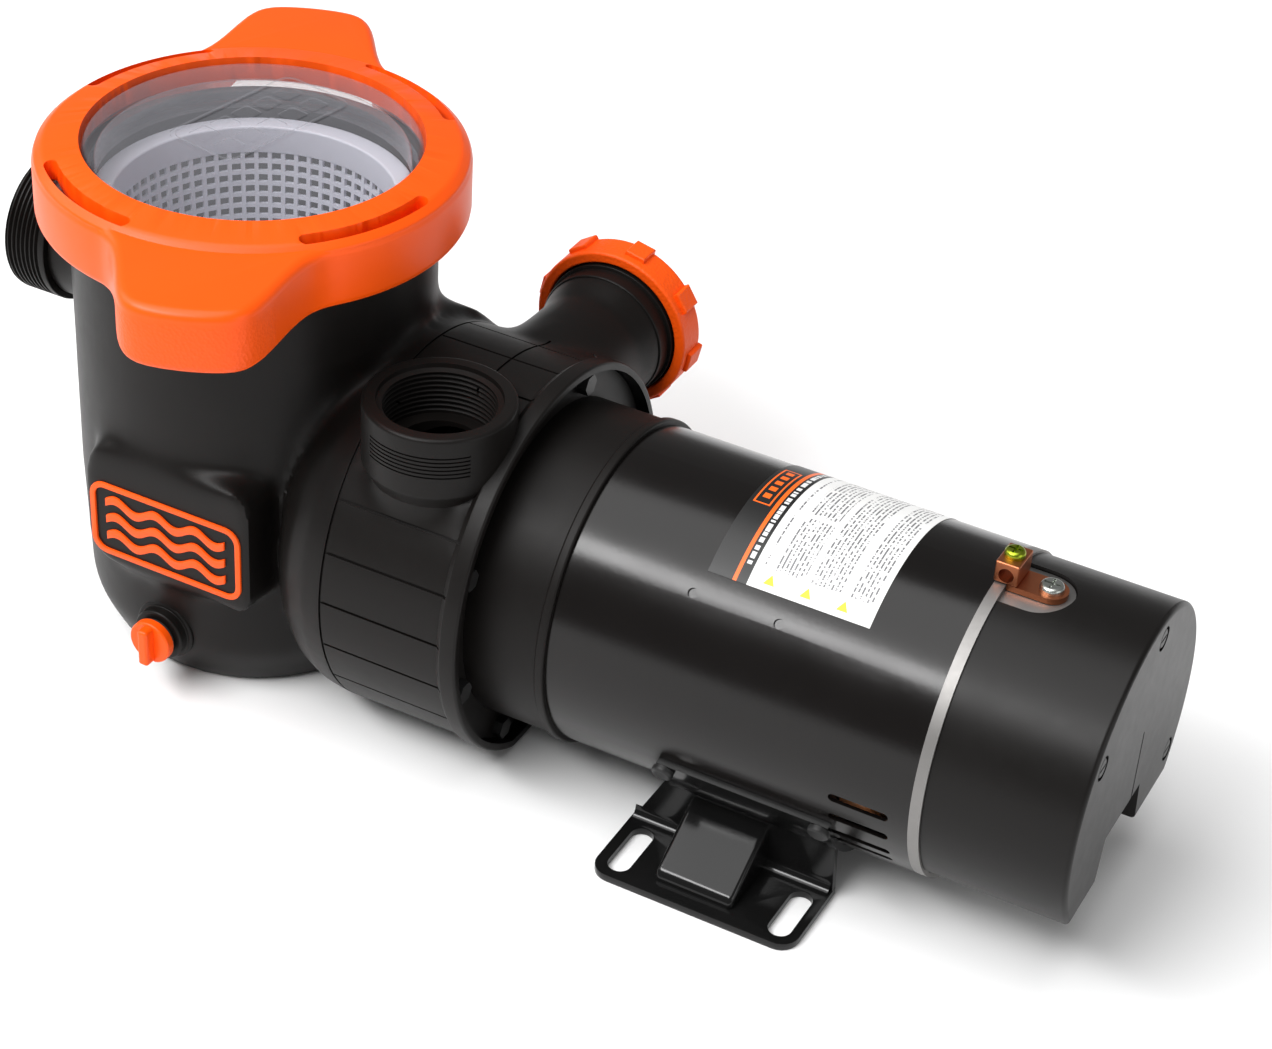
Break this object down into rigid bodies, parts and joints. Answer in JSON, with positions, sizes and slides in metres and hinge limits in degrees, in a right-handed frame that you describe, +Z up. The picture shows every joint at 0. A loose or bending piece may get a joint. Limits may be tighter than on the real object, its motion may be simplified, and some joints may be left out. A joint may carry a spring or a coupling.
{
  "type": "pool pump",
  "caption": "Above-ground pool pump: strainer pot with a locking ring and clear lid, volute with upright and capped side ports, foot-mounted electric motor.",
  "frame": {"origin": "midway between the two foot slots nearest the pump, on the floor under the shaft", "axes": "+X along the shaft from the suction port to the motor's rear cover, +Y to the capped port, +Z up"},
  "size_m": [0.4958, 0.2474, 0.2254],
  "materials": {
    "black_moulding": "fine-textured satin charcoal black",
    "bracket_moulding": "satin charcoal black",
    "orange_plastic": "satin bright orange",
    "clear_plastic": "clear polished",
    "basket_plastic": "pale lilac grey",
    "seal_rubber": "matt black",
    "ceramic": "polished ceramic",
    "impeller_plastic": "moulded black",
    "fan_plastic": "moulded black",
    "cover_plastic": "satin black",
    "capacitor_case": "black phenolic",
    "phenolic_board": "brown phenolic board",
    "shell_paint": "glossy black enamel",
    "foot_paint": "very glossy black enamel",
    "cast_aluminium": "die-cast",
    "lamination_steel": "stacked laminations",
    "enamelled_copper": "enamelled copper wire",
    "stainless_steel": "machined",
    "bearing_steel": "ground",
    "zinc_steel": "zinc plated",
    "black_screws": "black oxide",
    "green_steel": "green plated",
    "copper": "bare copper",
    "label_film": "printed film"
  },
  "bodies": {
    "pump": {"pump_body": "black_moulding", "motor_bracket": "bracket_moulding", "volute_seal": "seal_rubber", "bracket_screws": "black_screws", "seal_seat": "ceramic", "motor_shell": "shell_paint", "front_end_bell": "cast_aluminium", "rear_end_bell": "cast_aluminium", "stator_core": "lamination_steel", "stator_windings": "enamelled_copper", "through_bolts": "zinc_steel", "motor_capacitor": "capacitor_case", "capacitor_strap": "zinc_steel", "terminal_board": "phenolic_board", "rear_cover": "cover_plastic", "cover_screws": "black_screws", "cord_grommet": "seal_rubber", "ground_lug": "copper", "lug_clamp_screw": "green_steel", "lug_mount_screw": "zinc_steel", "rating_label": "label_film", "motor_foot": "foot_paint", "foot_screws": "black_screws", "front_bearing_outer": "bearing_steel", "front_bearing_balls": "bearing_steel", "rear_bearing_outer": "bearing_steel", "rear_bearing_balls": "bearing_steel", "wave_washer": "bearing_steel", "switch_plate": "phenolic_board"},
    "rotor": {"rotor_shaft": "stainless_steel", "rotor_core": "lamination_steel", "impeller": "impeller_plastic", "seal_spring": "stainless_steel", "seal_head": "seal_rubber", "slinger": "seal_rubber", "cooling_fan": "fan_plastic", "switch_rotor": "phenolic_board", "front_bearing_inner": "bearing_steel", "rear_bearing_inner": "bearing_steel"},
    "lid": {"clear_lid": "clear_plastic", "lid_seal": "seal_rubber"},
    "locking_ring": {"lid_ring": "orange_plastic"},
    "basket": {"strainer_basket": "basket_plastic"},
    "plug_seal": {"drain_plug_seal": "seal_rubber"},
    "plug": {"drain_plug": "orange_plastic"},
    "cap_seal": {"cap_gasket": "seal_rubber"},
    "cap": {"discharge_cap": "orange_plastic"}
  },
  "joints": [
    {"name": "rotor_spin", "type": "hinge", "parent": "pump", "child": "rotor", "pos_m": [0, 0, 0.0762], "axis": [-1, 0, 0], "continuous": true},
    {"name": "lid_lift", "type": "slide", "parent": "pump", "child": "lid", "axis": [0, 0, 1], "range_m": [0, 0.4]},
    {"name": "ring_turn", "type": "hinge", "parent": "lid", "child": "locking_ring", "pos_m": [-0.2173, 0, 0.21], "axis": [0, 0, 1], "range_deg": [0, 45]},
    {"name": "basket_lift", "type": "slide", "parent": "pump", "child": "basket", "axis": [0, 0, 1], "range_m": [0, 0.2]},
    {"name": "plug_draw", "type": "slide", "parent": "pump", "child": "plug_seal", "axis": [0, -1, 0], "range_m": [0, 0.0086]},
    {"name": "plug_turn", "type": "hinge", "parent": "plug_seal", "child": "plug", "pos_m": [-0.2173, -0.08, 0.027], "axis": [0, -1, 0], "range_deg": [0, 2160]},
    {"name": "cap_draw", "type": "slide", "parent": "pump", "child": "cap_seal", "axis": [0, 1, 0], "range_m": [0, 0.0145]},
    {"name": "cap_turn", "type": "hinge", "parent": "cap_seal", "child": "cap", "pos_m": [-0.1063, 0.108, 0.122], "axis": [0, 1, 0], "range_deg": [0, 2340]}
  ],
  "couplings": [
    {"joint": "basket_lift", "follows": "lid_lift", "ratio": 0.5},
    {"joint": "plug_draw", "follows": "plug_turn", "m_per_rad": 0.00022457},
    {"joint": "cap_draw", "follows": "cap_turn", "m_per_rad": 0.00035153}
  ]
}
